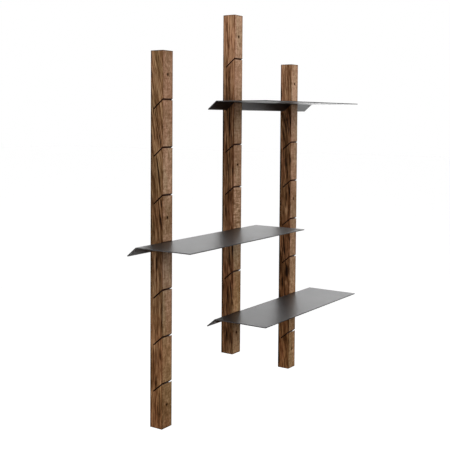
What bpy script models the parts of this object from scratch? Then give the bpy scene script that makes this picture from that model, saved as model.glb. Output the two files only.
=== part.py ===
"""Wall shelf: three slotted oak posts, screwed to a wall, and three bent steel shelves that hook into them.

Metres, +Z up, +X to the right when facing the shelf, +Y into the wall.
The origin is on the wall plane, at the middle of the centre post's back face.
"""

import math

import bmesh
import bpy
from mathutils import Matrix, Vector

MM = 0.001

# Posts
POST_WIDTH = 43 * MM
POST_DEPTH = 40 * MM
POST_SPACING = 340 * MM
POST_EDGE = 0.8 * MM
POST_EDGE_STEPS = 2

# Kerfs: saw cuts from the front face, down towards the back, right across each post
KERF_PITCH = 125 * MM
KERF_COUNT = 7
KERF_DEGREES = 40
KERF_WEB = 10.2 * MM
KERF_CLEARANCE = 0.3 * MM

# Shelves: a flat plate with its rear edge bent down into a flange that fills a kerf's depth
SHEET = 2.5 * MM
SHELF_DEPTH = 168 * MM
SHELF_OVERHANG = 96 * MM
BEND_RADIUS = 2 * MM
BEND_STEPS = 6
SHELF_CORNER = 1.5 * MM
SHELF_CORNER_STEPS = 3
SHEET_EDGE = 0.35 * MM
SHEET_EDGE_STEPS = 2

# Where each shelf hangs: which kerf of the post on its left, counted from the top, and how far it is
# pushed along
UPPER_KERF_NUMBER = 2
UPPER_SHIFT = 3 * MM
MIDDLE_KERF_NUMBER = 4
MIDDLE_SHIFT = -13 * MM
LOWER_KERF_NUMBER = 7
LOWER_SHIFT = 3 * MM

# Screws through the posts into the wall
SCREW_LENGTH = 45 * MM
SCREW_RADIUS = 2 * MM
SCREW_TIP = 6 * MM
SCREW_TIP_RADIUS = 0.15 * MM
SCREW_CLEARANCE = 0.3 * MM
HEAD_LIP = 1.2 * MM
HEAD_RIM = 0.7 * MM
HEAD_TAPER = 1.4 * MM
HEAD_SINK = 4 * MM
SOCKET_RADIUS = 1.5 * MM
SOCKET_DEPTH = 1.4 * MM
SCREW_SIDES = 24
SOCKET_SIDES = 6
# Half-way between two kerfs, in pitches from the top of a post
SCREW_HEIGHT_SHARES = {"top": 0.5, "middle": 3.5, "bottom": 7.5}

# Cutters run past what they cut
OVERRUN = 5 * MM
WELD = 0.001 * MM

# Worked out from the sizes above
KERF_ANGLE = math.radians(KERF_DEGREES)
POST_LENGTH = KERF_PITCH * (KERF_COUNT + 1)
CENTRE_RISE = KERF_PITCH
KERF_WIDTH = SHEET + 2 * KERF_CLEARANCE
KERF_OPENING = KERF_WIDTH / math.cos(KERF_ANGLE)
KERF_DEPTH = (POST_DEPTH - KERF_WEB - KERF_WIDTH * math.sin(KERF_ANGLE)) / math.cos(KERF_ANGLE)
# The bend's straight sides meet this far from where its arc starts, so the arc clears the kerf's lip
BEND_SETBACK = BEND_RADIUS * math.tan(KERF_ANGLE / 2)
FLANGE_LENGTH = KERF_DEPTH + BEND_SETBACK - KERF_CLEARANCE
HEAD_RADIUS = SCREW_RADIUS + HEAD_LIP
SHELF_LENGTH = POST_SPACING + POST_WIDTH + 2 * SHELF_OVERHANG

POST_PLACES = {"left": -POST_SPACING, "centre": 0, "right": POST_SPACING}
POST_TOPS = {
    "left": POST_LENGTH / 2 - CENTRE_RISE,
    "centre": POST_LENGTH / 2,
    "right": POST_LENGTH / 2 - CENTRE_RISE,
}
# Shelf: the post that carries its left side, the number of that post's kerf, and its shift
SHELVES = {
    "upper": ("centre", UPPER_KERF_NUMBER, UPPER_SHIFT),
    "middle": ("left", MIDDLE_KERF_NUMBER, MIDDLE_SHIFT),
    "lower": ("centre", LOWER_KERF_NUMBER, LOWER_SHIFT),
}

# Finish: colour as sRGB, roughness, metallic
OAK = ("#7d614a", 0.62, 0.0)
POWDER_COAT = ("#4c4e50", 0.45, 0.0)
BLACK_STEEL = ("#1d1d1e", 0.4, 1.0)


def linear(colour):
    """An sRGB hex colour as linear RGBA."""
    channels = [int(colour[i:i + 2], 16) / 255 for i in (1, 3, 5)]
    return [c / 12.92 if c <= 0.04045 else ((c + 0.055) / 1.055) ** 2.4 for c in channels] + [1.0]


def add_object(name, mesh, finish, place=(0, 0, 0)):
    """A named piece of the shelf, with a material of its own."""
    colour, roughness, metallic = finish
    material = bpy.data.materials.new(name + "_finish")
    material.use_nodes = True
    surface = material.node_tree.nodes["Principled BSDF"]
    surface.inputs["Base Color"].default_value = linear(colour)
    surface.inputs["Roughness"].default_value = roughness
    surface.inputs["Metallic"].default_value = metallic
    mesh.materials.append(material)
    piece = bpy.data.objects.new(name, mesh)
    piece.location = place
    bpy.context.scene.collection.objects.link(piece)
    return piece


def add_cutter(name, mesh, target):
    """A hidden solid, taken out of the target by a live Boolean."""
    cutter = bpy.data.objects.new(name, mesh)
    cutter.location = target.location
    cutter.hide_render = True
    cutter.display_type = "WIRE"
    bpy.context.scene.collection.objects.link(cutter)
    cut = target.modifiers.new(name, "BOOLEAN")
    cut.operation = "DIFFERENCE"
    cut.solver = "EXACT"
    cut.object = cutter


def add_bevel(piece, width, steps, angle):
    """Ease the edges that turn by more than the angle."""
    bevel = piece.modifiers.new("eased_edges", "BEVEL")
    bevel.width = width
    bevel.segments = steps
    bevel.limit_method = "ANGLE"
    bevel.angle_limit = angle
    bevel.use_clamp_overlap = True


def mesh_from(name, shape, smooth=False):
    """A mesh from a closed bmesh, with its faces pointing out."""
    bmesh.ops.recalc_face_normals(shape, faces=shape.faces)
    mesh = bpy.data.meshes.new(name)
    shape.to_mesh(mesh)
    shape.free()
    if smooth:
        mesh.shade_smooth()
        mesh.set_sharp_from_angle(angle=math.radians(30))
    return mesh


def add_box(shape, low, high):
    """A box between two corners."""
    low, high = Vector(low), Vector(high)
    scale = Matrix.Diagonal((*(high - low), 1))
    bmesh.ops.create_cube(shape, size=1, matrix=Matrix.Translation((low + high) / 2) @ scale)


def add_prism(shape, outline, low, high):
    """An outline of (y, z) points, extruded from one x to another."""
    points = [shape.verts.new((low, y, z)) for y, z in outline]
    face = shape.faces.new(points)
    grown = bmesh.ops.extrude_face_region(shape, geom=[face])["geom"]
    moved = [v for v in grown if isinstance(v, bmesh.types.BMVert)]
    bmesh.ops.translate(shape, verts=moved, vec=(high - low, 0, 0))


def add_lathe(shape, profile, place, sides):
    """A turned solid: (radius, y) points, spun round a line along Y."""
    centre = Vector(place)
    points = [shape.verts.new(centre + Vector((radius, y, 0))) for radius, y in profile]
    edges = [shape.edges.new(pair) for pair in zip(points, points[1:])]
    bmesh.ops.spin(
        shape,
        geom=points + edges,
        cent=centre,
        axis=(0, 1, 0),
        angle=math.tau,
        steps=sides,
        use_merge=True,
        use_duplicate=False,
    )
    bmesh.ops.remove_doubles(shape, verts=shape.verts, dist=WELD)


def along_kerf(start, forward, up):
    """A (y, z) point: so far down the slope of the kerf from the start, and so far square to it."""
    slope, cosine = math.sin(KERF_ANGLE), math.cos(KERF_ANGLE)
    return start[0] + forward * cosine + up * slope, start[1] - forward * slope + up * cosine


def kerf_lip(number):
    """The height of a kerf's lower lip under the top of its post. Its upper lip is on the pitch line."""
    return -number * KERF_PITCH - KERF_OPENING


def screw_outline(clearance):
    """Head and shank of a screw as (radius, y), from the head's face, grown by a clearance."""
    rim = HEAD_RIM + clearance
    return [
        (HEAD_RADIUS + clearance, rim),
        (SCREW_RADIUS + clearance, rim + HEAD_TAPER),
    ]


def build_post(side):
    """One post: a square bar with eased edges, its kerfs and its stepped screw holes."""
    bar = bmesh.new()
    add_box(bar, (-POST_WIDTH / 2, -POST_DEPTH, -POST_LENGTH), (POST_WIDTH / 2, 0, 0))
    name = "post_" + side
    place = (POST_PLACES[side], 0, POST_TOPS[side])
    post = add_object(name, mesh_from(name, bar), OAK, place)
    add_bevel(post, POST_EDGE, POST_EDGE_STEPS, math.radians(30))

    kerfs = bmesh.new()
    reach = KERF_WIDTH * math.tan(KERF_ANGLE) + OVERRUN
    for number in range(1, KERF_COUNT + 1):
        lip = (-POST_DEPTH, kerf_lip(number))
        outline = [
            along_kerf(lip, -reach, 0),
            along_kerf(lip, KERF_DEPTH, 0),
            along_kerf(lip, KERF_DEPTH, KERF_WIDTH),
            along_kerf(lip, -reach, KERF_WIDTH),
        ]
        add_prism(kerfs, outline, -POST_WIDTH / 2 - OVERRUN, POST_WIDTH / 2 + OVERRUN)
    add_cutter(name + "_kerfs", mesh_from(name + "_kerfs", kerfs), post)

    holes = bmesh.new()
    for share in SCREW_HEIGHT_SHARES.values():
        outline = screw_outline(SCREW_CLEARANCE)
        profile = [
            (0, -HEAD_SINK - OVERRUN),
            (outline[0][0], -HEAD_SINK - OVERRUN),
            *outline,
            (outline[-1][0], POST_DEPTH - HEAD_SINK + OVERRUN),
            (0, POST_DEPTH - HEAD_SINK + OVERRUN),
        ]
        centre = (0, HEAD_SINK - POST_DEPTH, -share * KERF_PITCH)
        add_lathe(holes, profile, centre, SCREW_SIDES)
    add_cutter(name + "_holes", mesh_from(name + "_holes", holes), post)
    return post


def build_screw(side, level):
    """One countersunk wood screw, sunk below the post's face, with its point in the wall."""
    body = bmesh.new()
    profile = [
        (0, 0),
        (HEAD_RADIUS, 0),
        *screw_outline(0),
        (SCREW_RADIUS, SCREW_LENGTH - SCREW_TIP),
        (SCREW_TIP_RADIUS, SCREW_LENGTH),
        (0, SCREW_LENGTH),
    ]
    add_lathe(body, profile, (0, 0, 0), SCREW_SIDES)
    name = "screw_" + side + "_" + level
    height = POST_TOPS[side] - SCREW_HEIGHT_SHARES[level] * KERF_PITCH
    place = (POST_PLACES[side], HEAD_SINK - POST_DEPTH, height)
    screw = add_object(name, mesh_from(name, body, smooth=True), BLACK_STEEL, place)

    socket = bmesh.new()
    turn = Matrix.Rotation(math.pi / 2, 4, "X")
    bmesh.ops.create_cone(
        socket,
        cap_ends=True,
        segments=SOCKET_SIDES,
        radius1=SOCKET_RADIUS,
        radius2=SOCKET_RADIUS,
        depth=2 * SOCKET_DEPTH,
        matrix=turn,
    )
    add_cutter(name + "_socket", mesh_from(name + "_socket", socket), screw)
    return screw


def shelf_outline():
    """The bent sheet as (y, z), from the point where the inner sides of its bend would meet."""
    inside = (0, 0)
    centre = (-BEND_SETBACK, -BEND_RADIUS)

    def arc(radius):
        turns = [KERF_ANGLE * step / BEND_STEPS for step in range(BEND_STEPS + 1)]
        return [(centre[0] + radius * math.sin(t), centre[1] + radius * math.cos(t)) for t in turns]

    under = [(-SHELF_DEPTH, 0)] + arc(BEND_RADIUS) + [along_kerf(inside, FLANGE_LENGTH, 0)]
    over = [(-SHELF_DEPTH, SHEET)] + arc(BEND_RADIUS + SHEET) + [along_kerf(inside, FLANGE_LENGTH, SHEET)]
    return under + over[::-1]


def build_shelf(level):
    """One shelf, hung in a kerf of each of two neighbouring posts."""
    post, kerf, shift = SHELVES[level]
    sheet = bmesh.new()
    add_prism(sheet, shelf_outline(), -SHELF_LENGTH / 2, SHELF_LENGTH / 2)
    tip = along_kerf((0, 0), FLANGE_LENGTH, 0)

    def is_corner(edge):
        """Whether the edge runs through the sheet's thickness at a free corner."""
        along_x = abs(edge.verts[0].co.x - edge.verts[1].co.x) > WELD
        thick = abs(edge.calc_length() - SHEET) < WELD
        middle = (edge.verts[0].co + edge.verts[1].co) / 2
        at_front = middle.y < -SHELF_DEPTH + SHEET
        at_tip = (Vector((middle.y, middle.z)) - Vector(tip)).length < SHEET
        return thick and not along_x and (at_front or at_tip)

    corners = [edge for edge in sheet.edges if is_corner(edge)]
    bmesh.ops.bevel(
        sheet,
        geom=corners,
        offset=SHELF_CORNER,
        offset_type="OFFSET",
        segments=SHELF_CORNER_STEPS,
        profile=0.5,
        affect="EDGES",
    )
    name = "shelf_" + level
    middle = POST_PLACES[post] + POST_SPACING / 2 + shift
    lip = (-POST_DEPTH, POST_TOPS[post] + kerf_lip(kerf))
    place = (middle, *along_kerf(lip, -BEND_SETBACK, KERF_CLEARANCE))
    shelf = add_object(name, mesh_from(name, sheet), POWDER_COAT, place)
    add_bevel(shelf, SHEET_EDGE, SHEET_EDGE_STEPS, math.radians(50))
    return shelf


def main():
    for piece in list(bpy.data.objects):
        bpy.data.objects.remove(piece, do_unlink=True)
    for side in POST_PLACES:
        build_post(side)
        for level in SCREW_HEIGHT_SHARES:
            build_screw(side, level)
    for level in SHELVES:
        build_shelf(level)


main()
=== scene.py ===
"""Looks of a wall shelf: smoked oak posts, powder-coated sheet-steel shelves and black wood screws."""

import math
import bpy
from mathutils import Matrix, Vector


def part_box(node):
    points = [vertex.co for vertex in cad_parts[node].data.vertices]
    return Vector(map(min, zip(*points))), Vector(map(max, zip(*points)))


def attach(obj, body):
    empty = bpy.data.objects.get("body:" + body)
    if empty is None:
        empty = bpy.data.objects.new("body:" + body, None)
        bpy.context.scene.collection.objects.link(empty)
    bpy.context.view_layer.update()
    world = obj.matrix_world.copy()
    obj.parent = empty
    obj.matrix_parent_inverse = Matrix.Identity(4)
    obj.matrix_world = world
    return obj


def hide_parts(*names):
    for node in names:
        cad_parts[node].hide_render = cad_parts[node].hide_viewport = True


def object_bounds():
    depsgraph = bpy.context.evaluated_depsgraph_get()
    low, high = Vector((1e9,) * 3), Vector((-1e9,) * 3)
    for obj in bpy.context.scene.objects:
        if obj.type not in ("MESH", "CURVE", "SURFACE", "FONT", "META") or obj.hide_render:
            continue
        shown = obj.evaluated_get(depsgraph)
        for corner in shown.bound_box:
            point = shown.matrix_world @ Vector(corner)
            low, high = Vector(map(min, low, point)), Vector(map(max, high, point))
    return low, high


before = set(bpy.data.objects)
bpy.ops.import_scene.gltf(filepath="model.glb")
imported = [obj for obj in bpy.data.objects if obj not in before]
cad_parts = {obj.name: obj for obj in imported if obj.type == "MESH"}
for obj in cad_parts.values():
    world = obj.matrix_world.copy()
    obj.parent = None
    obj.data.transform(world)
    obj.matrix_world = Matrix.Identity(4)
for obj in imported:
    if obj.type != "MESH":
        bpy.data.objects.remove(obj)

from types import SimpleNamespace

import bmesh
import bpy
from mathutils import Matrix, Vector

MM = 0.001
CAD_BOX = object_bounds()

# Camera: where the photograph was taken from, and how it was framed
PHOTO_SIDE_PX = 450
FOCAL_PX = 852
PRINCIPAL_PX = (203, 165)
CAMERA_PLACE = (-2.1135, -1.395, 0.199)
CAMERA_YAW = 55.0
CAMERA_PITCH = -3.14
CAMERA_ROLL = 0.31
SENSOR_MM = 36

# Floor: the posts hang at the height of a wall shelf, and a black cloth, the flag, keeps the light of the
# near floor off the undersides. A lift is what the floor adds to its own shade to look white.
FLOOR_DROP = 600 * MM
FLOOR_SIDE = 60
FLOOR_WHITE = "#e6e6e6"
FLOOR_ROUGH = 0.9
NEAR_LIFT = 0.96
FLAG_SIDE = 8
FLAG_GAP = 1 * MM
FLAG_BLACK = "#161616"

# Wall: the shelf's sheen mirrors it, and nothing else sees it. Its white is over one, for a clear sheen.
WALL_WIDTH = 16
WALL_HEIGHT = 6
WALL_GAP = 0.5 * MM
WALL_WHITE = 1.55

# Light: how strongly the sky lights from overhead and from the side, and the lamp
STUDIO_WHITE = "#ffffff"
SKY_TOP = 1.5
SKY_SIDE = 0.5
KEY_PLACE = (1.4, -2.7, 1.0)
KEY_SIZE = (2.0, 2.0)
KEY_POWER = 74

# Posts
POST_EDGE = 0.8 * MM
POST_EDGE_STEPS = 4
POST_EDGE_DEGREES = 30
KERF_PITCH = 125 * MM
KERF_COUNT = 7
KERF_ANGLE = math.radians(40)
KERF_WEB = 10.2 * MM
KERF_CLEARANCE = 0.3 * MM
SCREW_HEIGHT_SHARES = {"top": 0.5, "middle": 3.5, "bottom": 7.5}

# Oak: its growth rings, how far the grain leans back over a post, and its waves and pores. A ring has open
# pores on its inner side, given as how far out through the ring, and how dark.
RING_GAP = 5 * MM
RING_SHARE = 0.3
RING_PORE_SHARES = [(0.0, 0.1), (0.08, 1.0), (0.2, 0.7), (0.4, 0.1), (0.92, 0.0), (1.0, 0.1)]
END_GRAIN_SHARE = 0.68
END_RING_SHARE = 0.14
HEART_PLACE = (14 * MM, 90 * MM)
GRAIN_LEAN = 200 * MM
GRAIN_WAVE = 2.2 * MM
PORE_DEPTH = 0.25 * MM
PORE_SHARE = -0.7
PORE_BUMP = 0.6
OAK_ROUGH = (0.5, 0.68)
OAK_IOR = 1.5
OAK_GLOSS = 0.03
# The upright part of a face's normal at which it starts to be an end of the post, and at which it is one
END_FACING_SHARES = (0.4, 0.7)

# How wide the painted shade is along the front's arrises, the sides' back edges and the rims of the
# ends, beside the kerfs and round a screw hole, and how dark. What is cut is marked by an attribute, and
# its walls are painted dark for the shade inside the kerfs and holes.
ARRIS_SHADE_BAND = 3.5 * MM
ARRIS_SHADE_SHARE = 0.36
# Painted shade along the sides' back edges, where the posts meet the wall
BACK_SHADE_BAND = 5 * MM
BACK_SHADE_LINE = 1.5 * MM
# Painted edge shade round the rims of the ends
END_RIM_SHADE_BAND = 3 * MM
END_RIM_SHADE_SHARE = 0.45
# Painted shade in a band beside each kerf's mouth
KERF_MOUTH_SHADE_BAND = 0.8 * MM
KERF_MOUTH_SHADE_SHARE = 0.8
KERF_MOUTH_SHADE_BROWN = "#200800"
# Painted shade: a soft dark patch round each screw hole
HOLE_RIM_SHADE_BAND = 7.5 * MM
HOLE_RIM_SHADE_SHARE = 0.25
# Painted shade on the walls inside the kerfs and holes
CUT_WALL_SHADE_MARK = "cut"
KERF_WALL_SHADE_SHARE = 1.0
HOLE_WALL_SHADE_SHARE = 0.4
CUT_WALL_SHADE_BROWN = "#300c00"

# Patterns of the oak: width across the grain and length along it in millimetres, the range of the noise
# that counts, and where the noise is read, so that no two look alike. A real pore is 0.3 mm wide and a
# fibre finer still, both too fine to show, so they are drawn coarser.
NOISE_DETAIL = 2.0
NOISE_ROUGH = 0.55
WAVES = (30, 110, 0.0, 1.0, 0.0)
RING_DRIFT = (14, 300, 0.0, 1.0, 0.5)
RING_PATCH = (10, 60, 0.42, 0.6, 0.8)
RIPPLE = (24, 5, 0.35, 0.65, 0.2)
FRAY = (1.6, 14, 0.0, 1.0, 0.6)
FRAY_SHARE = 0.5
TINT_DRIFT = (30, 120, 0.3, 0.7, 0.9)
FIBRE = (0.7, 40, 0.0, 1.0, 0.3)
PORES = (1.3, 20, 0.52, 0.64, 4.0)

# Figure of the oak, coarse to fine: width, length and range as above, and how much darker each layer makes
# the wood. Each layer is read in the noise at its own number, and all of the front's a little further on.
FRONT_FIGURE_PLACE = 0.4
SIDE_FIGURE = [
    (9, 150, 0.38, 0.62, 0.1),
    (3.2, 70, 0.5, 0.57, 0.26),
    (3.8, 95, 0.5, 0.6, -0.18),
    (2.4, 34, 0.52, 0.6, 0.2),
    (1.3, 20, 0.52, 0.64, 0.1),
    (0.7, 14, 0.55, 0.62, 0.1),
]
FRONT_FIGURE = [
    (9, 150, 0.35, 0.65, 0.06),
    (12, 17, 0.4, 0.6, 0.08),
    (4.5, 7, 0.4, 0.6, 0.1),
    (2.6, 26, 0.54, 0.64, 0.1),
    (3, 60, 0.54, 0.66, -0.08),
    (0.7, 9, 0.55, 0.62, 0.12),
]

# Each post's own wood. Shares of its height from the foot go with how dark its front and its sides are,
# which is partly the wood's own tone and partly painted light and shade, how dark the painted shade on
# the sides' back edges is, how strong the ripples of its front are, and how far its grain has leant. Its
# streaks are millimetres down from the top and back from the front, half their height and width, and a
# strength.
OAK_LOOKS = {
    "left": {
        "seed": 11.0,
        "front_tone_and_light_shares": [
            (0.0, 0.38), (0.06, 0.37), (0.12, 0.27), (0.19, 0.25), (0.3, 0.22), (0.44, 0.06), (0.56, 0.33),
            (0.66, 0.15), (0.81, 0.22), (1.0, 0.25),
        ],
        "side_tone_and_light_shares": [
            (0.0, 0.23), (0.06, 0.22), (0.3, 0.2), (0.44, 0.2), (0.56, 0.39), (0.69, 0.19), (0.81, 0.18),
            (0.94, 0.22), (1.0, 0.22),
        ],
        "side_tint_shares": [(0.0, "#ffecd2"), (0.3, "#fff0e0"), (0.42, "#fffcf2"), (1.0, "#fffcee")],
        "back_shade_shares": [
            (0.0, 0.4), (0.34, 0.4), (0.38, 0.75), (0.5, 0.75), (0.53, 0.4), (0.9, 0.4), (1.0, 0.25),
        ],
        "ripple_shares": [(0.0, 0.09), (1.0, 0.07)],
        "lean_shares": [(0.0, 0.0), (0.45, 0.02), (0.625, 0.12), (0.75, 0.19), (0.94, 0.41), (1.0, 0.44)],
        "streaks": [
            (30, 25.5, 26, 3, -0.25), (75, 35, 50, 2.2, 0.38), (140, 12, 20, 2.2, 0.31),
            (150, 31, 30, 2.1, 0.44), (165, 24, 30, 2.1, 0.44), (190, 16, 30, 2.1, 0.44),
            (215, 27, 30, 2.1, 0.38), (230, 9, 24, 2.4, 0.44), (330, 12, 60, 3, 0.44),
            (398, 4.5, 17, 2.6, 0.61), (450, 4, 28, 3, 0.44), (565, 38, 40, 3, 0.44),
            (558, 18, 32, 2.7, 0.5), (600, 8, 40, 1.5, 0.38), (697, 0.8, 58, 2.7, 0.56),
            (808, 20.5, 30, 3, 0.44), (800, 8, 24, 3, 0.44), (877, 20.5, 28, 3.6, 0.56),
            (950, 22, 60, 4, 0.33), (950, 8, 60, 2, 0.44),
        ],
    },
    "centre": {
        "seed": 23.0,
        "front_tone_and_light_shares": [
            (0.0, 0.15), (0.1, 0.2), (0.19, 0.29), (0.25, 0.26), (0.31, 0.11), (0.44, 0.13), (0.5, 0.17),
            (0.56, 0.22), (0.7, 0.2), (0.75, 0.24), (0.8, 0.16), (1.0, 0.12),
        ],
        "side_tone_and_light_shares": [
            (0.0, 0.27), (0.12, 0.29), (0.19, 0.33), (0.31, 0.26), (0.44, 0.355), (0.56, 0.41),
            (0.69, 0.41), (0.75, 0.42), (0.8, 0.17), (0.88, 0.05), (1.0, 0.02),
        ],
        "side_tint_shares": [
            (0.0, "#fff5e8"), (0.12, "#fff3e4"), (0.2, "#ffecdc"), (0.45, "#fff6f2"), (1.0, "#fff0e6"),
        ],
        "back_shade_shares": [(0.0, 0.7), (0.1, 0.8), (0.74, 0.8), (0.76, 0.3), (1.0, 0.25)],
        "ripple_shares": [(0.0, 0.07), (0.36, 0.07), (0.39, 0.3), (0.48, 0.28), (0.52, 0.1), (1.0, 0.07)],
        "lean_shares": [(0.0, 0.0), (0.12, 0.01), (0.25, 0.08), (0.4, 0.1), (1.0, 0.15)],
        "streaks": [
            (45, 24.5, 48, 2, 0.62), (90, 19, 12, 2.7, 0.56), (115, 20, 24, 1.8, 0.5),
            (160, 18, 18, 7, 0.32), (207, 18, 46, 5, 0.33), (340, 37.5, 90, 3, 0.44),
            (325, 15.5, 58, 2.7, 0.56), (290, 15, 14, 3.5, 0.39), (320, 2, 55, 1.8, 0.38),
            (455, 19, 45, 2.1, 0.5), (452, 3.5, 26, 3, 0.55), (575, 26, 28, 3, 0.39),
            (560, 37, 70, 3, 0.44), (692, 1.8, 20, 2.8, 0.72), (718, 12, 36, 2, 0.5),
            (742, 27, 28, 2.2, 0.5), (815, 18.5, 50, 3, 0.56), (812, 5.5, 45, 2.7, 0.5),
            (843, 2, 14, 3, 0.55), (942, 20.5, 28, 3.3, 0.62), (945, 9, 32, 3, 0.56),
        ],
    },
    "right": {
        "seed": 37.0,
        "front_tone_and_light_shares": [
            (0.0, 0.27), (0.19, 0.22), (0.31, 0.25), (0.44, 0.29), (0.56, 0.28), (0.69, 0.22), (0.81, 0.12),
            (1.0, 0.15),
        ],
        "side_tone_and_light_shares": [
            (0.0, 0.23), (0.12, 0.29), (0.31, 0.43), (0.44, 0.45), (0.56, 0.4), (0.69, 0.32), (0.84, 0.38),
            (0.89, 0.09), (1.0, 0.05),
        ],
        "side_tint_shares": [(0.0, "#ffe4c1"), (0.25, "#ffeeda"), (0.4, "#fff3e9"), (1.0, "#fff3ea")],
        "back_shade_shares": [(0.0, 0.5), (0.2, 0.7), (0.3, 0.85), (0.9, 0.85), (0.95, 0.4), (1.0, 0.25)],
        "ripple_shares": [(0.0, 0.07), (1.0, 0.07)],
        "lean_shares": [
            (0.0, 0.0), (0.12, 0.08), (0.25, 0.12), (0.36, 0.13), (0.45, 0.2), (0.55, 0.21), (0.76, 0.24),
            (0.875, 0.345), (1.0, 0.37),
        ],
        "streaks": [
            (60, 31, 62, 1.7, 0.5), (60, 27, 55, 1.5, 0.38), (60, 21, 62, 2, 0.5),
            (62, 11, 60, 1.8, 0.44), (60, 3, 62, 3, 0.5), (95, 37, 30, 3.3, 0.62),
            (190, 1.8, 56, 3, 0.69), (165, 32, 36, 2.4, 0.62), (170, 25, 36, 2.4, 0.62),
            (185, 18, 40, 2.7, 0.69), (200, 11, 36, 2.4, 0.62), (225, 27, 34, 2.4, 0.62),
            (323, 19, 50, 3, 0.56), (305, 3, 32, 2.4, 0.56), (428, 13.5, 24, 3.4, 0.55),
            (415, 3.2, 18, 3, 0.56), (478, 14.5, 24, 8, -0.3), (575, 23.5, 24, 3.5, 0.44),
            (605, 19.5, 28, 2.7, 0.62), (675, 11, 30, 6.5, 0.55), (673, 1.5, 26, 2.7, 0.75),
            (712, 26, 24, 6, 0.35), (714, 13, 12, 6, -0.2), (965, 36, 34, 4, 0.55),
            (150, 28, 26, 2, -0.3), (175, 21.5, 30, 2, -0.3), (200, 15, 30, 2, -0.3),
            (215, 22, 28, 2, -0.25),
        ],
    },
}
OAK_DARK_SHARES = [
    (0.0, "#dabb9e"), (0.2, "#b8967a"), (0.4, "#8f6e54"), (0.6, "#6d4e34"), (0.82, "#402612"),
    (1.0, "#1c0e05"),
]
OAK_DRIFT = ("#fff2ea", "#f2f3e6")
FRONT_TINT_SHARES = [
    (0.0, "#f9fffc"), (0.2, "#f8fdf6"), (0.31, "#f0f8ff"), (0.45, "#e9f3ff"), (1.0, "#edf2ff"),
]

# Shelves
SHEET = 2.5 * MM
BEND_RADIUS = 2 * MM
BEND_STEPS = 18
SHELF_CORNER = 1.5 * MM
SHELF_CORNER_STEPS = 6
SHEET_EDGE = 0.35 * MM
SHEET_EDGE_STEPS = 3
SHEET_EDGE_DEGREES = 50

# Their coat: its fine texture is 0.2 mm across, too fine to show, so it is drawn coarser
COAT_SHARES = [(0.35, "#050608"), (0.65, "#08090b")]
COAT_ROUGH = (0.34, 0.4)
COAT_IOR = 1.5
PEEL_SIZE = 0.6 * MM
PEEL_DEPTH = 0.03 * MM
PEEL_BUMP = 0.3
CLOUD_SIZE = 90 * MM
CLOUD_DETAIL = 3.0

# Wood screws
OXIDE_SHARES = [(0.45, "#1b1b1c"), (0.75, "#39393a")]
OXIDE_ROUGH = (0.45, 0.3)
WEAR_SIZE = 1.2 * MM
WEAR_DETAIL = 3.0
HEAD_RADIUS = 3.2 * MM
HEAD_RIM = 0.7 * MM
HEAD_TAPER = 1.4 * MM
SHANK_RADIUS = 2 * MM
SHANK_LENGTH = 14 * MM
THREAD_ROOT = 1.35 * MM
THREAD_PITCH = 1.8 * MM
THREAD_STEPS = 6
THREAD_RIDGE_SHARE = 0.5
THREAD_RUN_OUT = 3 * MM
SCREW_POINT = 6 * MM
POINT_RADIUS = 0.15 * MM
SCREW_CLEARANCE = 0.3 * MM
SOCKET_RADIUS = 1.5 * MM
SOCKET_DEPTH = 1.4 * MM
HEAD_EDGE = 0.15 * MM
SCREW_SHARP_DEGREES = 40
SCREW_SIDES = 24
HOLE_SIDES = 32
SOCKET_SIDES = 6
SCREW_SEED = 5

# Cutters run past what they cut, points closer than the weld are one, and a round bevel is an arc
OVERRUN = 5 * MM
WELD = 0.001 * MM
ROUND_BEVEL_SHARE = 0.5

# Worked out from the sizes above
KERF_WIDTH = SHEET + 2 * KERF_CLEARANCE
KERF_OPENING = KERF_WIDTH / math.cos(KERF_ANGLE)
BEND_SETBACK = BEND_RADIUS * math.tan(KERF_ANGLE / 2)

# Parts of the names of the posts and screws, and of the shelves
SIDES = ("left", "centre", "right")
LEVELS = ("upper", "middle", "lower")


def linear(colour):
    """An sRGB hex colour as linear RGBA."""
    channels = [int(colour[i:i + 2], 16) / 255 for i in (1, 3, 5)]
    return [c / 12.92 if c <= 0.04045 else ((c + 0.055) / 1.055) ** 2.4 for c in channels] + [1.0]


def add_node(tree, kind, inputs=None, stops=None, **settings):
    """Add a node with its settings, the stops of its ramp, and its input values or links.

    An input goes by its name, or by its number where names repeat. A node given as an input is linked
    by the first of its outputs that is in use.
    """
    node = tree.nodes.new(kind)
    for name, value in settings.items():
        setattr(node, name, value)
    for name, value in (inputs or {}).items():
        if isinstance(value, bpy.types.Node):
            value = next(socket for socket in value.outputs if socket.enabled)
        if isinstance(value, bpy.types.NodeSocket):
            tree.links.new(value, node.inputs[name])
        else:
            node.inputs[name].default_value = value
    if stops:
        ramp = node.color_ramp.elements
        while len(ramp) < len(stops):
            ramp.new(1)
        for element, (place, colour) in zip(ramp, stops):
            element.position = place
            element.color = linear(colour) if isinstance(colour, str) else (colour, colour, colour, 1)
    return node


def new_material(name):
    """An empty material and its tree."""
    material = bpy.data.materials.new(name)
    material.use_nodes = True
    material.node_tree.nodes.clear()
    return material, material.node_tree


def grain_marks(tree, source, seed, pattern):
    """Marks drawn out along the grain: nought on plain wood, one on a mark."""
    width, length, low, high, place = pattern
    scale = (1 / (width * MM), 1 / (width * MM), 1 / (length * MM))
    start = seed + place
    stretched = add_node(tree, "ShaderNodeMapping", {
        "Vector": source, "Scale": scale, "Location": (start, -start, 2 * start),
    })
    noise = add_node(tree, "ShaderNodeTexNoise", {
        "Vector": stretched, "Scale": 1.0, "Detail": NOISE_DETAIL, "Roughness": NOISE_ROUGH,
    })
    return add_node(tree, "ShaderNodeMapRange", {
        "Value": noise, "From Min": low, "From Max": high,
    }, interpolation_type="SMOOTHSTEP")


def layered(tree, dark, source, seed, figure):
    """The wood's darkness with every layer of a figure laid over it."""
    for number, (*pattern, weight) in enumerate(figure):
        marks = grain_marks(tree, source, seed, (*pattern, number))
        dark = add_node(tree, "ShaderNodeMath", {0: marks, 1: weight, 2: dark}, operation="MULTIPLY_ADD")
    return dark


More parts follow.
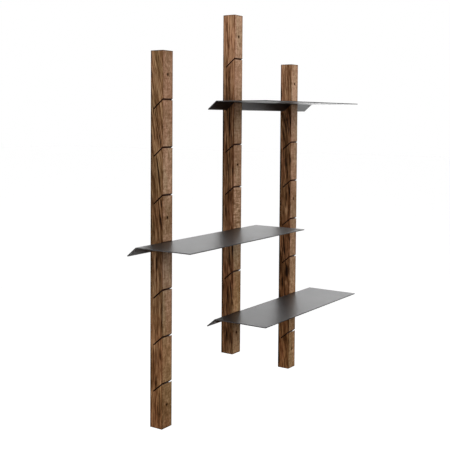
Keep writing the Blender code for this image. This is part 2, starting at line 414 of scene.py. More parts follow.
def with_ovals(tree, dark, source, fray, ovals):
    """The wood's darkness with soft ovals over it: a centre, one over each half size, and a strength."""
    for centre, scale, strength in ovals:
        offset = [-place * stretch for place, stretch in zip(centre, scale)]
        oval = add_node(tree, "ShaderNodeVectorMath", {
            0: source, 1: scale, 2: offset,
        }, operation="MULTIPLY_ADD")
        reach = add_node(tree, "ShaderNodeVectorMath", {0: oval}, operation="LENGTH")
        reach = add_node(tree, "ShaderNodeMath", {
            0: fray, 1: FRAY_SHARE, 2: reach,
        }, operation="MULTIPLY_ADD")
        mark = add_node(tree, "ShaderNodeMapRange", {
            "Value": reach, "From Min": FRAY_SHARE, "From Max": 1 + FRAY_SHARE / 2,
            "To Min": strength, "To Max": 0.0,
        }, interpolation_type="SMOOTHSTEP")
        dark = add_node(tree, "ShaderNodeMath", {0: mark, 1: dark}, operation="ADD")
    return dark


def grain_space(tree, look, wood):
    """The wood's own space, leaning with the trunk; the same with its waves; and the ramp of the lean."""
    lean = add_node(tree, "ShaderNodeValToRGB", {"Fac": wood.share}, stops=look["lean_shares"])
    lean.color_ramp.interpolation = "B_SPLINE"
    swept = add_node(tree, "ShaderNodeMath", {
        0: lean, 1: -GRAIN_LEAN, 2: wood.axes["Y"],
    }, operation="MULTIPLY_ADD")
    straight = add_node(tree, "ShaderNodeCombineXYZ", {"X": wood.across, "Y": swept, "Z": wood.axes["Z"]})
    wave = grain_marks(tree, straight, look["seed"], WAVES)
    waved = add_node(tree, "ShaderNodeMath", {0: wave, 1: GRAIN_WAVE, 2: swept}, operation="MULTIPLY_ADD")
    grain = add_node(tree, "ShaderNodeCombineXYZ", {"X": wood.across, "Y": waved, "Z": wood.axes["Z"]})
    return straight, grain, lean.color_ramp


def spring_wood(tree, look, wood):
    """Growth rings round the heart: one where the open pores of spring darken the inner side of a ring."""
    heart = (HEART_PLACE[0], wood.middle.y + HEART_PLACE[1], 0)
    off_heart = add_node(tree, "ShaderNodeVectorMath", {0: wood.grain, 1: heart}, operation="SUBTRACT")
    flat = add_node(tree, "ShaderNodeVectorMath", {0: off_heart, 1: (1, 1, 0)}, operation="MULTIPLY")
    from_heart = add_node(tree, "ShaderNodeVectorMath", {0: flat}, operation="LENGTH")
    drift = grain_marks(tree, wood.grain, look["seed"], RING_DRIFT)
    rings = add_node(tree, "ShaderNodeMath", {
        0: from_heart, 1: 1 / RING_GAP, 2: drift,
    }, operation="MULTIPLY_ADD")
    ring = add_node(tree, "ShaderNodeMath", {0: rings}, operation="FRACT")
    return add_node(tree, "ShaderNodeValToRGB", {"Fac": ring}, stops=RING_PORE_SHARES)


def post_wood(tree, look, low, high):
    """What every layer of a post's wood is read from.

    The place and its axes are the object's. The share is the height from the foot, and across is how far
    off the middle. The normal tells the sides and the ends. The grain follows the trunk, the spring wood
    follows the rings, and the fray roughens the rims of marks.
    """
    wood = SimpleNamespace(low=low, high=high, middle=(low + high) / 2)
    coordinates = add_node(tree, "ShaderNodeTexCoord").outputs
    wood.place = coordinates["Object"]
    wood.axes = add_node(tree, "ShaderNodeSeparateXYZ", {0: wood.place}).outputs
    facing = add_node(tree, "ShaderNodeSeparateXYZ", {0: coordinates["Normal"]}).outputs
    wood.on_side = add_node(tree, "ShaderNodeMath", {0: facing["X"]}, operation="ABSOLUTE")
    upright = add_node(tree, "ShaderNodeMath", {0: facing["Z"]}, operation="ABSOLUTE")
    starts, ends = END_FACING_SHARES
    wood.on_end = add_node(tree, "ShaderNodeMapRange", {
        "Value": upright, "From Min": starts, "From Max": ends,
    })
    wood.share = add_node(tree, "ShaderNodeMapRange", {
        "Value": wood.axes["Z"], "From Min": low.z, "From Max": high.z,
    })
    wood.across = add_node(tree, "ShaderNodeMath", {
        0: wood.axes["X"], 1: wood.middle.x,
    }, operation="SUBTRACT")
    wood.straight, wood.grain, wood.lean = grain_space(tree, look, wood)
    wood.spring = spring_wood(tree, look, wood)
    wood.fray = grain_marks(tree, wood.grain, look["seed"], FRAY)
    return wood


def with_edge(tree, dark, place, start, end, strength):
    """The wood's darkness, rising from one place along an axis to an edge."""
    edge = add_node(tree, "ShaderNodeMapRange", {
        "Value": place, "From Min": start, "From Max": end, "To Max": strength,
    }, interpolation_type="SMOOTHSTEP")
    return add_node(tree, "ShaderNodeMath", {0: edge, 1: dark}, operation="ADD")


def side_darkness(tree, look, wood):
    """The sides: rings that come and go, its own streaks along the grain, and painted shade at the back
    edge.
    """
    # Darkness by height, partly the wood's own tone and partly painted light and shade
    dark = add_node(tree, "ShaderNodeValToRGB", {"Fac": wood.share}, stops=look["side_tone_and_light_shares"])
    patch = grain_marks(tree, wood.grain, look["seed"], RING_PATCH)
    lines = add_node(tree, "ShaderNodeMath", {0: wood.spring, 1: patch}, operation="MULTIPLY")
    dark = add_node(tree, "ShaderNodeMath", {0: lines, 1: RING_SHARE, 2: dark}, operation="MULTIPLY_ADD")
    dark = layered(tree, dark, wood.grain, look["seed"], SIDE_FIGURE)
    streaks = []
    for down, back, tall, wide, strength in look["streaks"]:
        height = wood.high.z - down * MM
        leant = wood.lean.evaluate((height - wood.low.z) / (wood.high.z - wood.low.z))[0]
        depth = wood.low.y + back * MM - GRAIN_LEAN * leant + GRAIN_WAVE / 2
        streaks.append(((0, depth, height), (0, 1 / (wide * MM), 1 / (tall * MM)), strength))
    dark = with_ovals(tree, dark, wood.grain, wood.fray, streaks)
    # Painted shade where the post meets the wall: a dark band along the back edge, as dark as the ramp says
    back = add_node(tree, "ShaderNodeValToRGB", {"Fac": wood.share}, stops=look["back_shade_shares"])
    return with_edge(tree, dark, wood.axes["Y"], wood.high.y - BACK_SHADE_BAND, wood.high.y - BACK_SHADE_LINE, back)


def front_darkness(tree, look, wood):
    """The front: the rays' cross ripples, and painted shade round the screw holes and along the arrises."""
    # Darkness by height, partly the wood's own tone and partly painted light and shade
    dark = add_node(tree, "ShaderNodeValToRGB", {"Fac": wood.share}, stops=look["front_tone_and_light_shares"])
    ripple = grain_marks(tree, wood.place, look["seed"], RIPPLE)
    strength = add_node(tree, "ShaderNodeValToRGB", {"Fac": wood.share}, stops=look["ripple_shares"])
    dark = add_node(tree, "ShaderNodeMath", {0: ripple, 1: strength, 2: dark}, operation="MULTIPLY_ADD")
    dark = layered(tree, dark, wood.grain, look["seed"] + FRONT_FIGURE_PLACE, FRONT_FIGURE)
    # Painted shade: a soft dark patch round each screw hole
    hole_rim_shades = []
    for pitches in SCREW_HEIGHT_SHARES.values():
        hole = (wood.middle.x, 0, wood.high.z - pitches * KERF_PITCH)
        hole_rim_shades.append((hole, (1 / HOLE_RIM_SHADE_BAND, 0, 1 / HOLE_RIM_SHADE_BAND), HOLE_RIM_SHADE_SHARE))
    dark = with_ovals(tree, dark, wood.place, wood.fray, hole_rim_shades)
    # Painted edge shade: a dark band along both arrises of the front
    off_middle = add_node(tree, "ShaderNodeMath", {0: wood.across}, operation="ABSOLUTE")
    arris = (wood.high.x - wood.low.x) / 2
    return with_edge(tree, dark, off_middle, arris - ARRIS_SHADE_BAND, arris, ARRIS_SHADE_SHARE)


def oak_darkness(tree, look, wood):
    """The whole post: front, sides, painted shade on the rims of its ends, and end grain with its rings."""
    front, side = front_darkness(tree, look, wood), side_darkness(tree, look, wood)
    dark = add_node(tree, "ShaderNodeMix", {0: wood.on_side, 2: front, 3: side}, data_type="FLOAT")
    # Painted edge shade: a dark band round the rims of both ends, on every face
    for end, inwards in ((wood.high.z, -END_RIM_SHADE_BAND), (wood.low.z, END_RIM_SHADE_BAND)):
        dark = with_edge(tree, dark, wood.axes["Z"], end + inwards, end, END_RIM_SHADE_SHARE)
    end_grain = add_node(tree, "ShaderNodeMath", {
        0: wood.spring, 1: END_RING_SHARE, 2: END_GRAIN_SHARE,
    }, operation="MULTIPLY_ADD")
    return add_node(tree, "ShaderNodeMix", {0: wood.on_end, 2: dark, 3: end_grain}, data_type="FLOAT")


def tinted(tree, look, wood, colour):
    """The wood's colour, drifting from pink to olive brown, tinted by height, and redder on the sides."""
    drifted = grain_marks(tree, wood.straight, look["seed"], TINT_DRIFT)
    drift = add_node(tree, "ShaderNodeMix", {
        0: drifted, 6: linear(OAK_DRIFT[0]), 7: linear(OAK_DRIFT[1]),
    }, data_type="RGBA")
    side_tint = add_node(tree, "ShaderNodeValToRGB", {"Fac": wood.share}, stops=look["side_tint_shares"])
    front_tint = add_node(tree, "ShaderNodeValToRGB", {"Fac": wood.share}, stops=FRONT_TINT_SHARES)
    tint = add_node(tree, "ShaderNodeMix", {
        0: wood.on_side, 6: front_tint, 7: side_tint,
    }, data_type="RGBA")
    for layer in (drift, tint):
        colour = add_node(tree, "ShaderNodeMix", {
            0: 1.0, 6: colour, 7: layer,
        }, data_type="RGBA", blend_type="MULTIPLY")
    return colour


def near_kerfs(tree, wood):
    """One in the painted shade along both sides of a kerf's mouth, and nought away from it."""
    low, high = wood.low, wood.high
    slope = (0, math.sin(KERF_ANGLE), math.cos(KERF_ANGLE))
    lip = Vector((0, low.y, high.z - KERF_OPENING / 2)).dot(Vector(slope))
    square = add_node(tree, "ShaderNodeVectorMath", {0: wood.place, 1: slope}, operation="DOT_PRODUCT")
    off_lip = add_node(tree, "ShaderNodeMath", {0: square, 1: lip}, operation="SUBTRACT")
    pitch = KERF_PITCH * slope[2]
    number = add_node(tree, "ShaderNodeMath", {0: off_lip, 1: pitch}, operation="DIVIDE")
    number = add_node(tree, "ShaderNodeMath", {0: number}, operation="ROUND")
    number = add_node(tree, "ShaderNodeClamp", {"Value": number, "Min": -KERF_COUNT, "Max": -1})
    off_kerf = add_node(tree, "ShaderNodeMath", {
        0: number, 1: -pitch, 2: off_lip,
    }, operation="MULTIPLY_ADD")
    off_kerf = add_node(tree, "ShaderNodeMath", {0: off_kerf}, operation="ABSOLUTE")
    in_kerf = add_node(tree, "ShaderNodeMapRange", {
        "Value": off_kerf, "From Min": KERF_WIDTH / 2, "From Max": KERF_WIDTH / 2 + KERF_MOUTH_SHADE_BAND,
        "To Min": 1.0, "To Max": 0.0,
    })
    before_end = add_node(tree, "ShaderNodeMapRange", {
        "Value": wood.axes["Y"], "From Min": high.y - KERF_WEB - KERF_MOUTH_SHADE_BAND, "From Max": high.y - KERF_WEB,
        "To Min": 1.0, "To Max": 0.0,
    })
    return add_node(tree, "ShaderNodeMath", {0: in_kerf, 1: before_end}, operation="MULTIPLY")


def sawn(tree, wood, colour):
    """The wood's colour with painted shade: a band beside each kerf, and dark walls in every kerf and hole.
    """
    # Painted shade: a band beside each kerf's mouth, and dark walls inside the kerfs and holes
    kerf_mouth_shade = near_kerfs(tree, wood)
    kerf_mouth_shade = add_node(tree, "ShaderNodeMath", {0: kerf_mouth_shade, 1: KERF_MOUTH_SHADE_SHARE}, operation="MULTIPLY")
    shaded_cut_wall = add_node(tree, "ShaderNodeAttribute", attribute_name=CUT_WALL_SHADE_MARK).outputs["Fac"]
    for mark, brown in ((kerf_mouth_shade, KERF_MOUTH_SHADE_BROWN), (shaded_cut_wall, CUT_WALL_SHADE_BROWN)):
        colour = add_node(tree, "ShaderNodeMix", {0: mark, 6: colour, 7: linear(brown)}, data_type="RGBA")
    return colour


def smoked_oak(side, low, high):
    """Smoked and oiled oak, sawn and planed: dark pore lines along the growth rings, over warm brown.

    The post is cut from beside the heart of the log, so its two sides show the rings as dark streaks and
    its front shows quiet wood with cross ripples, the figure of the rays. The trunk's lean makes the
    streaks run out of the sides at a slant. End grain, which drinks the oil, is darker. Painted shade
    darkens the arrises, the rims of the ends and the sides' back edges, the walls of the kerfs and screw
    holes, a band beside each kerf and a patch round each hole.
    """
    look = OAK_LOOKS[side]
    material, tree = new_material("smoked_oak_" + side)
    wood = post_wood(tree, look, low, high)
    dark = oak_darkness(tree, look, wood)
    colour = add_node(tree, "ShaderNodeValToRGB", {"Fac": dark}, stops=OAK_DARK_SHARES)
    colour = sawn(tree, wood, tinted(tree, look, wood, colour))

    # The pores lie deeper than the fibres, and the higher a fibre stands, the rougher it is
    fibre = grain_marks(tree, wood.grain, look["seed"], FIBRE)
    pore = grain_marks(tree, wood.grain, look["seed"], PORES)
    smooth, coarse = OAK_ROUGH
    rough = add_node(tree, "ShaderNodeMapRange", {"Value": fibre, "To Min": smooth, "To Max": coarse})
    relief = add_node(tree, "ShaderNodeMath", {0: pore, 1: PORE_SHARE, 2: fibre}, operation="MULTIPLY_ADD")
    bump = add_node(tree, "ShaderNodeBump", {
        "Height": relief, "Distance": PORE_DEPTH, "Strength": PORE_BUMP,
    })
    shader = add_node(tree, "ShaderNodeBsdfPrincipled", {
        "Base Color": colour, "Roughness": rough, "Normal": bump, "IOR": OAK_IOR,
        "Specular IOR Level": OAK_GLOSS,
    })
    add_node(tree, "ShaderNodeOutputMaterial", {"Surface": shader})
    return material


def powder_coat():
    """Fine-textured polyester powder coat, sprayed and baked on sheet steel: dark, with a soft sheen."""
    material, tree = new_material("powder_coated_steel")
    place = add_node(tree, "ShaderNodeTexCoord").outputs["Object"]
    peel = add_node(tree, "ShaderNodeTexNoise", {
        "Vector": place, "Scale": 1 / PEEL_SIZE, "Detail": NOISE_DETAIL,
    })
    cloud = add_node(tree, "ShaderNodeTexNoise", {
        "Vector": place, "Scale": 1 / CLOUD_SIZE, "Detail": CLOUD_DETAIL,
    })
    colour = add_node(tree, "ShaderNodeValToRGB", {"Fac": cloud}, stops=COAT_SHARES)
    smooth, coarse = COAT_ROUGH
    rough = add_node(tree, "ShaderNodeMapRange", {"Value": cloud, "To Min": smooth, "To Max": coarse})
    bump = add_node(tree, "ShaderNodeBump", {"Height": peel, "Distance": PEEL_DEPTH, "Strength": PEEL_BUMP})
    shader = add_node(tree, "ShaderNodeBsdfPrincipled", {
        "Base Color": colour, "Roughness": rough, "Normal": bump, "IOR": COAT_IOR,
    })
    add_node(tree, "ShaderNodeOutputMaterial", {"Surface": shader})
    return material


def black_oxide():
    """Black-oxide steel, blacked in a hot bath and oiled: nearly black, with worn bright spots."""
    material, tree = new_material("black_oxide_steel")
    place = add_node(tree, "ShaderNodeTexCoord").outputs["Object"]
    worn = add_node(tree, "ShaderNodeTexNoise", {
        "Vector": place, "Scale": 1 / WEAR_SIZE, "Detail": WEAR_DETAIL,
    })
    colour = add_node(tree, "ShaderNodeValToRGB", {"Fac": worn}, stops=OXIDE_SHARES)
    coarse, polished = OXIDE_ROUGH
    rough = add_node(tree, "ShaderNodeMapRange", {"Value": worn, "To Min": coarse, "To Max": polished})
    shader = add_node(tree, "ShaderNodeBsdfPrincipled", {
        "Base Color": colour, "Roughness": rough, "Metallic": 1.0,
    })
    add_node(tree, "ShaderNodeOutputMaterial", {"Surface": shader})
    return material


def seen_rays(tree):
    """One for rays that look at the studio, straight, mirrored or through glass; nought for its light."""
    path = add_node(tree, "ShaderNodeLightPath").outputs
    straight, mirrored, through = path["Is Camera Ray"], path["Is Glossy Ray"], path["Is Transmission Ray"]
    looks = add_node(tree, "ShaderNodeMath", {0: straight, 1: mirrored}, operation="MAXIMUM")
    return add_node(tree, "ShaderNodeMath", {0: looks, 1: through}, operation="MAXIMUM")


def pale_floor(name, lift):
    """Matt white floor, lifted to the studio's white where it is looked at."""
    material, tree = new_material(name)
    seen = add_node(tree, "ShaderNodeMath", {0: seen_rays(tree), 1: lift}, operation="MULTIPLY")
    paint = add_node(tree, "ShaderNodeBsdfPrincipled", {
        "Base Color": linear(FLOOR_WHITE), "Roughness": FLOOR_ROUGH,
        "Emission Color": linear(STUDIO_WHITE), "Emission Strength": seen,
    })
    add_node(tree, "ShaderNodeOutputMaterial", {"Surface": paint})
    return material


def black_cloth():
    """Black cotton velvet, which throws next to no light back."""
    material, tree = new_material("black_velvet")
    cloth = add_node(tree, "ShaderNodeBsdfDiffuse", {"Color": linear(FLAG_BLACK)})
    add_node(tree, "ShaderNodeOutputMaterial", {"Surface": cloth})
    return material


def wall_paint():
    """Matt white wall, seen only in reflections."""
    material, tree = new_material("wall_white")
    paint = add_node(tree, "ShaderNodeBsdfDiffuse", {"Color": [WALL_WHITE] * 3 + [1]})
    add_node(tree, "ShaderNodeOutputMaterial", {"Surface": paint})
    return material


def link(name, mesh):
    """A new object at the origin, for a mesh that holds its own place."""
    piece = bpy.data.objects.new(name, mesh)
    bpy.context.scene.collection.objects.link(piece)
    return piece


def mesh_from(name, shape):
    """A mesh from a shape under construction, with its faces pointing out."""
    bmesh.ops.recalc_face_normals(shape, faces=shape.faces)
    mesh = bpy.data.meshes.new(name)
    shape.to_mesh(mesh)
    shape.free()
    return mesh


def add_box(shape, low, high):
    """A box between two corners."""
    low, high = Vector(low), Vector(high)
    scale = Matrix.Diagonal((*(high - low), 1))
    bmesh.ops.create_cube(shape, size=1, matrix=Matrix.Translation((low + high) / 2) @ scale)


def add_prism(shape, outline, low, high):
    """An outline of (y, z) points, extruded from one x to another."""
    points = [shape.verts.new((low, y, z)) for y, z in outline]
    face = shape.faces.new(points)
    grown = bmesh.ops.extrude_face_region(shape, geom=[face])["geom"]
    moved = [v for v in grown if isinstance(v, bmesh.types.BMVert)]
    bmesh.ops.translate(shape, verts=moved, vec=(high - low, 0, 0))


def add_lathe(shape, profile, centre, sides):
    """A turned solid: (radius, y) points, spun round a line along Y."""
    centre = Vector(centre)
    points = [shape.verts.new(centre + Vector((radius, y, 0))) for radius, y in profile]
    edges = [shape.edges.new(pair) for pair in zip(points, points[1:])]
    bmesh.ops.spin(
        shape, geom=points + edges, cent=centre, axis=(0, 1, 0), angle=math.tau, steps=sides,
        use_merge=True, use_duplicate=False,
    )
    bmesh.ops.remove_doubles(shape, verts=shape.verts, dist=WELD)


def along_kerf(start, forward, up):
    """A (y, z) point: so far down the slope of the kerf from the start, and so far square to it."""
    slope, cosine = math.sin(KERF_ANGLE), math.cos(KERF_ANGLE)
    return start[0] + forward * cosine + up * slope, start[1] - forward * slope + up * cosine


def apply_modifiers(piece, cutters=()):
    """Turn what the piece's modifiers make into its own plain mesh, and clear them and its cutters away."""
    depsgraph = bpy.context.evaluated_depsgraph_get()
    mesh = bpy.data.meshes.new_from_object(piece.evaluated_get(depsgraph), depsgraph=depsgraph)
    mesh.name = piece.name
    piece.modifiers.clear()
    piece.data = mesh
    for cutter in cutters:
        bpy.data.objects.remove(cutter)


def cut(piece, name, mesh):
    """A Boolean cut of the piece by a mesh, live until its modifiers are applied."""
    cutter = link(name, mesh)
    step = piece.modifiers.new(name, "BOOLEAN")
    step.operation = "DIFFERENCE"
    step.solver = "EXACT"
    step.object = cutter
    return cutter


def round_edges(piece, width, steps, degrees):
    """Round the edges that turn by more than the angle, and keep the flat faces flat to the eye."""
    bevel = piece.modifiers.new("rounded_edges", "BEVEL")
    bevel.width = width
    bevel.segments = steps
    bevel.limit_method = "ANGLE"
    bevel.angle_limit = math.radians(degrees)
    bevel.harden_normals = True


def mark_shaded_cuts(mesh, low, high):
    """Mark the faces that lie inside the bar, the walls of its kerfs and of its holes, for painted shade.
    """
    mark = mesh.attributes.new(CUT_WALL_SHADE_MARK, "FLOAT", "FACE")
    # A kerf's walls face forwards or back as well as up or down, but never to the side
    some = math.sin(KERF_ANGLE) / 2
    for face, value in zip(mesh.polygons, mark.data):
        inside = min(min(face.center - low), min(high - face.center)) > POST_EDGE
        in_kerf = abs(face.normal.y) > some and abs(face.normal.x) < some
        # Painted shade inside: full on the kerf walls, less on the hole walls
        value.value = (KERF_WALL_SHADE_SHARE if in_kerf else HOLE_WALL_SHADE_SHARE) if inside else 0.0


def make_post(side, material):
    """An oak post with rounded edges, its kerfs and its stepped screw holes."""
    low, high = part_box("post_" + side)
    middle = (low.x + high.x) / 2
    bar = bmesh.new()
    add_box(bar, low, high)
    mesh = mesh_from("oak_post_" + side, bar)
    mesh.shade_smooth()
    post = link("oak_post_" + side, mesh)
    round_edges(post, POST_EDGE, POST_EDGE_STEPS, POST_EDGE_DEGREES)

    kerfs = bmesh.new()
    width, depth = KERF_WIDTH, high.y - low.y
    length = (depth - KERF_WEB - width * math.sin(KERF_ANGLE)) / math.cos(KERF_ANGLE)
    reach = width * math.tan(KERF_ANGLE) + OVERRUN
    for number in range(1, KERF_COUNT + 1):
        lip = (low.y, high.z - number * KERF_PITCH - KERF_OPENING)
        outline = [
            along_kerf(lip, -reach, 0), along_kerf(lip, length, 0),
            along_kerf(lip, length, width), along_kerf(lip, -reach, width),
        ]
        add_prism(kerfs, outline, low.x - OVERRUN, high.x + OVERRUN)
    holes = bmesh.new()
    for level, share in SCREW_HEIGHT_SHARES.items():
        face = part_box("screw_" + side + "_" + level)[0].y
        head, shank = HEAD_RADIUS + SCREW_CLEARANCE, SHANK_RADIUS + SCREW_CLEARANCE
        rim = HEAD_RIM + SCREW_CLEARANCE
        profile = [
            (0, low.y - OVERRUN), (head, low.y - OVERRUN), (head, face + rim),
            (shank, face + rim + HEAD_TAPER), (shank, high.y + OVERRUN), (0, high.y + OVERRUN),
        ]
        add_lathe(holes, profile, (middle, 0, high.z - share * KERF_PITCH), HOLE_SIDES)
    cutters = [
        cut(post, "kerfs", mesh_from("kerfs", kerfs)),
        cut(post, "holes", mesh_from("holes", holes)),
    ]
    apply_modifiers(post, cutters)
    mark_shaded_cuts(post.data, low, high)
    post.data.materials.clear()
    post.data.materials.append(material)
    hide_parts("post_" + side)
    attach(post, "posts")


def make_shelf(level, material):
    """A shelf of bent sheet: a plate, a bend of true radius and a flange, with eased corners and edges."""
    low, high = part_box("shelf_" + level)
    top = high.z
    flange_tip = high.y
    slope, cosine = math.sin(KERF_ANGLE), math.cos(KERF_ANGLE)
    # The flange's outer side ends at the box's back, so its length is worked back from there
    under = top - SHEET
    drop = (under - low.z) / slope
    inside = (flange_tip - SHEET * slope - drop * cosine, under)
    centre = (inside[0] - BEND_SETBACK, under - BEND_RADIUS)

    def arc(radius):
        """The bend at a radius, from the plate to the flange, as (y, z) points."""
        turns = [KERF_ANGLE * step / BEND_STEPS for step in range(BEND_STEPS + 1)]
        return [(centre[0] + radius * math.sin(t), centre[1] + radius * math.cos(t)) for t in turns]

    inner = [(low.y, under)] + arc(BEND_RADIUS) + [along_kerf(inside, drop, 0)]
    outer = [(low.y, top)] + arc(BEND_RADIUS + SHEET) + [along_kerf(inside, drop, SHEET)]
    sheet = bmesh.new()
    add_prism(sheet, inner + outer[::-1], low.x, high.x)
    tip = Vector(along_kerf(inside, drop, SHEET / 2))
    corners = []
    for edge in sheet.edges:
        ends = [v.co for v in edge.verts]
        middle = (ends[0] + ends[1]) / 2
        thick = abs(edge.calc_length() - SHEET) < WELD and abs(ends[0].x - ends[1].x) < WELD
        at_tip = (Vector((middle.y, middle.z)) - tip).length < WELD
        if thick and (middle.y < low.y + WELD or at_tip):
            corners.append(edge)
    bmesh.ops.bevel(
        sheet, geom=corners, offset=SHELF_CORNER, offset_type="OFFSET", segments=SHELF_CORNER_STEPS,
        profile=ROUND_BEVEL_SHARE, affect="EDGES",
    )
    mesh = mesh_from("steel_shelf_" + level, sheet)
    mesh.shade_smooth()
    shelf = link("steel_shelf_" + level, mesh)
    round_edges(shelf, SHEET_EDGE, SHEET_EDGE_STEPS, SHEET_EDGE_DEGREES)
    apply_modifiers(shelf)
    shelf.data.materials.clear()
    shelf.data.materials.append(material)
    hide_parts("shelf_" + level)
    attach(shelf, level + "_shelf")


def thread_radius(turn, along, length):
    """The screw's radius at an angle, in turns, and a distance from its face: shank, thread, then point."""
    # Nought on the top of a ridge, and one half-way to the next
    off_ridge = abs((along / THREAD_PITCH - turn) % 1 - 0.5) * 2
    run_in = min(max((along - SHANK_LENGTH) / THREAD_RUN_OUT, 0), 1)
    root = SHANK_RADIUS + (THREAD_ROOT - SHANK_RADIUS) * run_in
    radius = root + (SHANK_RADIUS - root) * max(1 - off_ridge / THREAD_RIDGE_SHARE, 0)
    left = (length - along) / SCREW_POINT
    return POINT_RADIUS + (radius - POINT_RADIUS) * min(left, 1)


def screw_mesh(length):
    """One countersunk screw with a helical thread: its face at the origin, and its point along +Y."""
    screw = bmesh.new()
    head = [(HEAD_RADIUS - HEAD_EDGE, 0), (HEAD_RADIUS, HEAD_EDGE), (HEAD_RADIUS, HEAD_RIM)]
    start = HEAD_RIM + HEAD_TAPER
    count = round((length - start) / THREAD_PITCH * THREAD_STEPS)
    rows = []
    for radius, along in head:
        rows.append([(radius, along)] * SCREW_SIDES)
    for step in range(count + 1):
        along = start + (length - start) * step / count
        turns = [side / SCREW_SIDES for side in range(SCREW_SIDES)]
        rows.append([(thread_radius(turn, along, length), along) for turn in turns])
    rings = []
    for row in rows:
        ring = []
        for side, (radius, along) in enumerate(row):
            angle = math.tau * side / SCREW_SIDES
            ring.append(screw.verts.new((radius * math.cos(angle), along, radius * math.sin(angle))))
        rings.append(ring)
    for ring, after in zip(rings, rings[1:]):
        for side in range(SCREW_SIDES):
            beside = (side + 1) % SCREW_SIDES
            screw.faces.new((ring[side], ring[beside], after[beside], after[side]))
    screw.faces.new(rings[0])
    screw.faces.new(rings[-1])
    mesh = mesh_from("screw", screw)
    mesh.shade_smooth()
    mesh.set_sharp_from_angle(angle=math.radians(SCREW_SHARP_DEGREES))
    return mesh


def screw_tree():
    """Nodes that set the screw on every point of a mesh, each turned by its own random angle."""
    tree = bpy.data.node_groups.new("screws_on_points", "GeometryNodeTree")
    for name, way, kind in (
        ("Points", "INPUT", "NodeSocketGeometry"),
        ("Screw", "INPUT", "NodeSocketObject"),
        ("Seed", "INPUT", "NodeSocketInt"),
        ("Material", "INPUT", "NodeSocketMaterial"),
        ("Screws", "OUTPUT", "NodeSocketGeometry"),
    ):
        tree.interface.new_socket(name, in_out=way, socket_type=kind)
    given = add_node(tree, "NodeGroupInput").outputs
    points = add_node(tree, "GeometryNodeMeshToPoints", {"Mesh": given["Points"]})
    one = add_node(tree, "GeometryNodeObjectInfo", {"Object": given["Screw"]}).outputs["Geometry"]
    turn = add_node(tree, "FunctionNodeRandomValue", {
        "Min": (0, 0, 0), "Max": (0, math.tau, 0), "Seed": given["Seed"],
    }, data_type="FLOAT_VECTOR")
    turned = add_node(tree, "FunctionNodeEulerToRotation", {"Euler": turn})
    placed = add_node(tree, "GeometryNodeInstanceOnPoints", {
        "Points": points, "Instance": one, "Rotation": turned,
    })
    real = add_node(tree, "GeometryNodeRealizeInstances", {"Geometry": placed})
    finish = add_node(tree, "GeometryNodeSetMaterial", {"Geometry": real, "Material": given["Material"]})
    add_node(tree, "NodeGroupOutput", {"Screws": finish})
    return tree


def make_screws(material):
    """The nine wood screws, sunk in their holes, as one mesh."""
    nodes = ["screw_" + side + "_" + level for side in SIDES for level in SCREW_HEIGHT_SHARES]
    boxes = [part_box(node) for node in nodes]
    length = boxes[0][1].y - boxes[0][0].y
    screw = link("screw", screw_mesh(length))
    socket = bmesh.new()
    bmesh.ops.create_cone(
        socket, cap_ends=True, segments=SOCKET_SIDES, radius1=SOCKET_RADIUS, radius2=SOCKET_RADIUS,
        depth=2 * SOCKET_DEPTH, matrix=Matrix.Rotation(math.pi / 2, 4, "X"),
    )
    apply_modifiers(screw, [cut(screw, "socket", mesh_from("socket", socket))])

    points = bpy.data.meshes.new("wall_screws")
    places = [((low.x + high.x) / 2, low.y, (low.z + high.z) / 2) for low, high in boxes]
    points.from_pydata(places, [], [])
    screws = link("wall_screws", points)
    tree = screw_tree()
    step = screws.modifiers.new("screws", "NODES")
    step.node_group = tree
    given = {"Screw": screw, "Seed": SCREW_SEED, "Material": material}
    for socket in tree.interface.items_tree:
        if socket.name in given:
            step[socket.identifier] = given[socket.name]
    apply_modifiers(screws, [screw])
    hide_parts(*nodes)
    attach(screws, "posts")


def add_light(name, place, target, size, power):
    """A soft rectangular lamp, aimed at a point, with no glare of its own in the sheen."""
    lamp = bpy.data.lights.new(name, "AREA")
    lamp.shape = "RECTANGLE"
    lamp.size, lamp.size_y = size
    lamp.energy = power
    light = bpy.data.objects.new(name, lamp)
    light.location = place
    light.rotation_euler = (Vector(target) - Vector(place)).to_track_quat("-Z", "Y").to_euler()
    light.visible_glossy = False
    bpy.context.scene.collection.objects.link(light)


def set_world():
    """A pale studio all round: white to the eye and in reflections, softer as light."""
    world = bpy.data.worlds.new("studio")
    world.use_nodes = True
    tree = world.node_tree
    tree.nodes.clear()
    way = add_node(tree, "ShaderNodeTexCoord").outputs["Generated"]
    height = add_node(tree, "ShaderNodeSeparateXYZ", {0: way}).outputs["Z"]
    sky = add_node(tree, "ShaderNodeMapRange", {
        "Value": height, "From Min": 0.0, "From Max": 1.0, "To Min": SKY_SIDE, "To Max": SKY_TOP,
    })
    strength = add_node(tree, "ShaderNodeMix", {0: seen_rays(tree), 2: sky, 3: 1.0}, data_type="FLOAT")
    back = add_node(tree, "ShaderNodeBackground", {"Color": linear(STUDIO_WHITE), "Strength": strength})
    add_node(tree, "ShaderNodeOutputWorld", {"Surface": back})
    bpy.context.scene.world = world


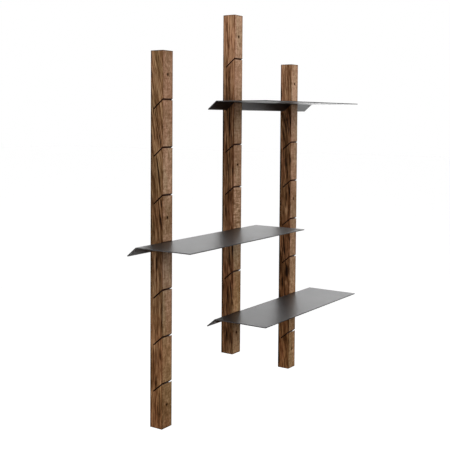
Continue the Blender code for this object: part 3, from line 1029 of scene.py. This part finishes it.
def set_camera():
    """The photograph's own view, with the lens shifted to frame it."""
    lens = bpy.data.cameras.new("camera")
    lens.sensor_width = SENSOR_MM
    lens.lens = FOCAL_PX / PHOTO_SIDE_PX * SENSOR_MM
    lens.shift_x = 0.5 - PRINCIPAL_PX[0] / PHOTO_SIDE_PX
    lens.shift_y = PRINCIPAL_PX[1] / PHOTO_SIDE_PX - 0.5
    camera = bpy.data.objects.new("camera", lens)
    yaw, pitch, roll = (math.radians(a) for a in (CAMERA_YAW, CAMERA_PITCH, CAMERA_ROLL))
    turn = Matrix.Rotation(-yaw, 4, "Z") @ Matrix.Rotation(math.pi / 2 + pitch, 4, "X")
    camera.matrix_world = Matrix.Translation(CAMERA_PLACE) @ turn @ Matrix.Rotation(roll, 4, "Z")
    bpy.context.scene.collection.objects.link(camera)
    bpy.context.scene.camera = camera


def stage_sheet(name, corners, material):
    """A flat sheet of the studio."""
    sheet = bmesh.new()
    sheet.faces.new([sheet.verts.new(corner) for corner in corners])
    piece = link(name, mesh_from(name, sheet))
    piece.data.materials.append(material)
    return piece


def level_corners(side, height):
    """The corners of a level square, centred under the shelf."""
    half = side / 2
    return [(x, y, height) for x, y in ((-half, -half), (half, -half), (half, half), (-half, half))]


def make_studio():
    """A pale floor well under the posts, and two things out of sight that shape the light on the shelves.

    The wall is seen by reflections alone, so the shelf can still be looked at from behind. The flag lies
    over the near floor, casts no shadow, and is seen by all but the camera.
    """
    ground = CAD_BOX[0].z - FLOOR_DROP
    # The sky alone lights the far floor, and a matt floor gathers twice as much from above as from the side
    far_lift = 1 - linear(FLOOR_WHITE)[0] * (SKY_SIDE + 2 * SKY_TOP) / 3
    floors = (
        ("floor_far", FLOOR_SIDE, ground - FLAG_GAP, far_lift),
        ("floor_near", FLAG_SIDE, ground, NEAR_LIFT),
    )
    for name, side, height, lift in floors:
        stage_sheet(name, level_corners(side, height), pale_floor(name, lift))
    flag = stage_sheet("flag", level_corners(FLAG_SIDE, ground + FLAG_GAP), black_cloth())
    flag.visible_camera = False
    flag.visible_shadow = False
    half = WALL_WIDTH / 2
    places = ((-half, ground), (half, ground), (half, WALL_HEIGHT), (-half, WALL_HEIGHT))
    wall = stage_sheet("wall", [(x, WALL_GAP, z) for x, z in places], wall_paint())
    wall.visible_camera = False
    wall.visible_diffuse = False
    wall.visible_shadow = False
    wall.visible_transmission = False


def main():
    """The camera, the studio, and the shelf in it."""
    bpy.context.scene.view_settings.view_transform = "Standard"
    set_camera()
    set_world()
    make_studio()
    add_light("key", KEY_PLACE, (0, 0, 0), KEY_SIZE, KEY_POWER)
    for side in SIDES:
        low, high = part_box("post_" + side)
        make_post(side, smoked_oak(side, low, high))
    coat = powder_coat()
    for level in LEVELS:
        make_shelf(level, coat)
    make_screws(black_oxide())


main()
